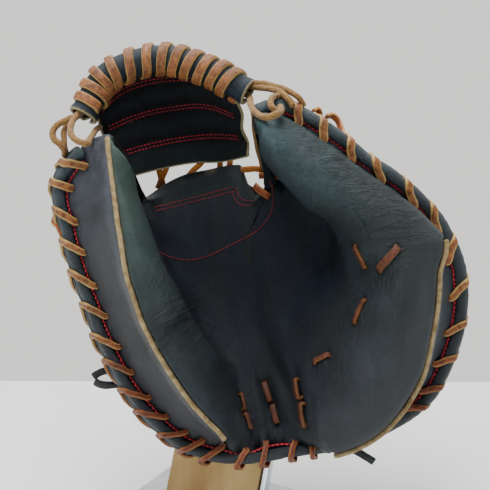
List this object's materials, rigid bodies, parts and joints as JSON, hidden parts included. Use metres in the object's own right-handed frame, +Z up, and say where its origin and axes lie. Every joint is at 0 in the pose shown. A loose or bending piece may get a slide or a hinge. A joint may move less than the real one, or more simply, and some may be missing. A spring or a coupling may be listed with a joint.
{
  "type": "catcher mitt on a display stand",
  "caption": "Left-hand catcher's mitt in dark navy leather with padded thumb and finger pads, a laced web, tan piping and brown lacing, held up by a small slanting metal stand in its wrist opening.",
  "frame": {"origin": "middle of the stand base's underside", "axes": "+Z up, +X to the viewer's right with the palm facing the viewer at -Y"},
  "size_m": [0.3062, 0.1702, 0.3574],
  "materials": {
    "navy_leather": "dark navy leather with fine grain",
    "slate_leather": "slate grey leather",
    "piping": "tan piping",
    "brown_lace": "brown rawhide lace",
    "khaki_lace": "round khaki lace",
    "amber_lace": "amber lace",
    "brushed_metal": "brushed tan metal",
    "pale_metal": "pale metal"
  },
  "bodies": {
    "root": {"palm_shell": "navy_leather", "thumb_side_panel": "slate_leather", "finger_side_panel": "slate_leather", "thumb_piping": "piping", "finger_piping": "piping", "rim_roll_front": "navy_leather", "rim_roll_back_thumb": "navy_leather", "rim_roll_back_fingers": "navy_leather", "back_shell_thumb": "navy_leather", "back_shell_fingers": "navy_leather", "web": "navy_leather", "wrist_strap": "navy_leather", "crown_lace": "brown_lace", "rim_lace_thumb": "brown_lace", "rim_lace_heel": "brown_lace", "rim_lace_fingers": "brown_lace", "palm_lace_1": "brown_lace", "palm_lace_2": "brown_lace", "palm_lace_3": "brown_lace", "palm_lace_4": "brown_lace", "palm_lace_5": "brown_lace", "palm_lace_6": "brown_lace", "palm_lace_7": "brown_lace", "palm_lace_8": "brown_lace", "palm_lace_9": "brown_lace", "palm_lace_10": "brown_lace", "junction_lace_left_1": "khaki_lace", "junction_lace_left_2": "khaki_lace", "junction_lace_right_1": "khaki_lace", "junction_lace_right_2": "khaki_lace", "web_base_lace_1": "amber_lace", "web_base_lace_2": "amber_lace", "web_base_lace_3": "amber_lace", "stand_plate": "brushed_metal", "stand_back": "pale_metal", "stand_base": "pale_metal"}
  },
  "joints": []
}
